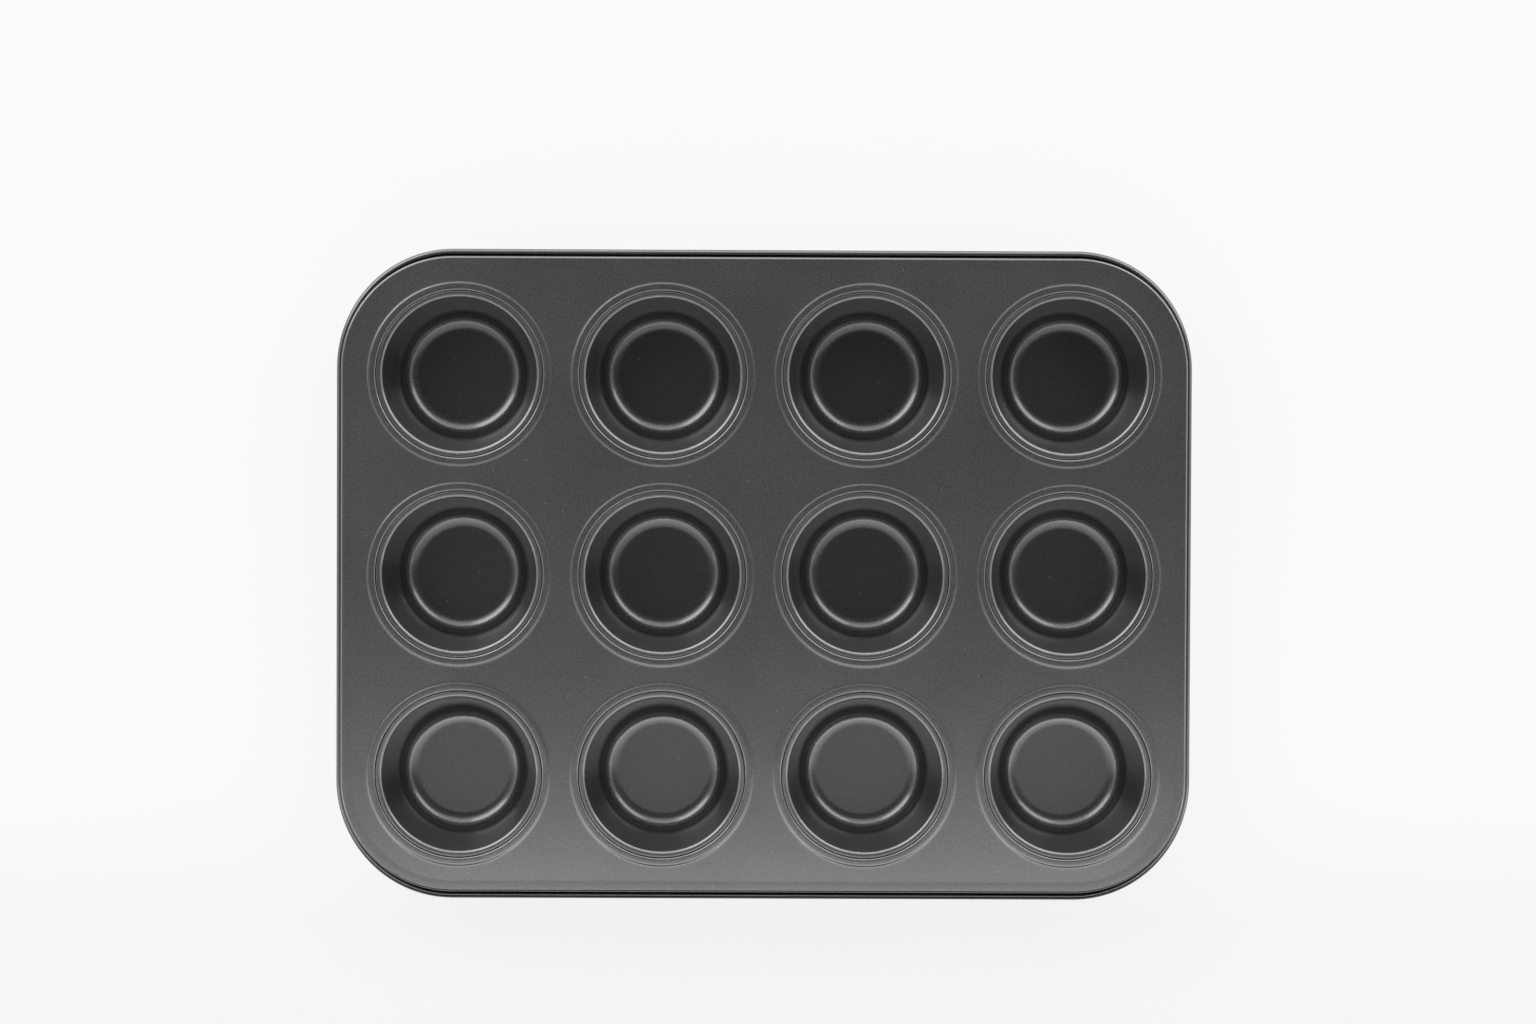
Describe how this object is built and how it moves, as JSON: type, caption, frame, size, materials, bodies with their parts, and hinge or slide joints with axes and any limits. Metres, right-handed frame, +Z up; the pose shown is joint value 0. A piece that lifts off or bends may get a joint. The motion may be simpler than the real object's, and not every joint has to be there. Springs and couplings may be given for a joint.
{
  "type": "muffin pan",
  "caption": "Flat baking pan: deep round tapered cups folded round the lips of a pierced frame, and a rim rolled over wire.",
  "frame": {"origin": "under the middle of the pan, on the plane that the cup floors stand on", "axes": "+Z up out of the cups, +X along the pan's long side, +Y along its short side"},
  "size_m": [0.35, 0.266, 0.03],
  "materials": {
    "dark_coating": "satin non-stick coating, dark grey",
    "wire_steel": "bare drawn wire"
  },
  "bodies": {
    "root": {"frame": "dark_coating", "rim_wire": "wire_steel", "cup_row1_col1": "dark_coating", "cup_row1_col2": "dark_coating", "cup_row1_col3": "dark_coating", "cup_row1_col4": "dark_coating", "cup_row2_col1": "dark_coating", "cup_row2_col2": "dark_coating", "cup_row2_col3": "dark_coating", "cup_row2_col4": "dark_coating", "cup_row3_col1": "dark_coating", "cup_row3_col2": "dark_coating", "cup_row3_col3": "dark_coating", "cup_row3_col4": "dark_coating"}
  },
  "joints": []
}
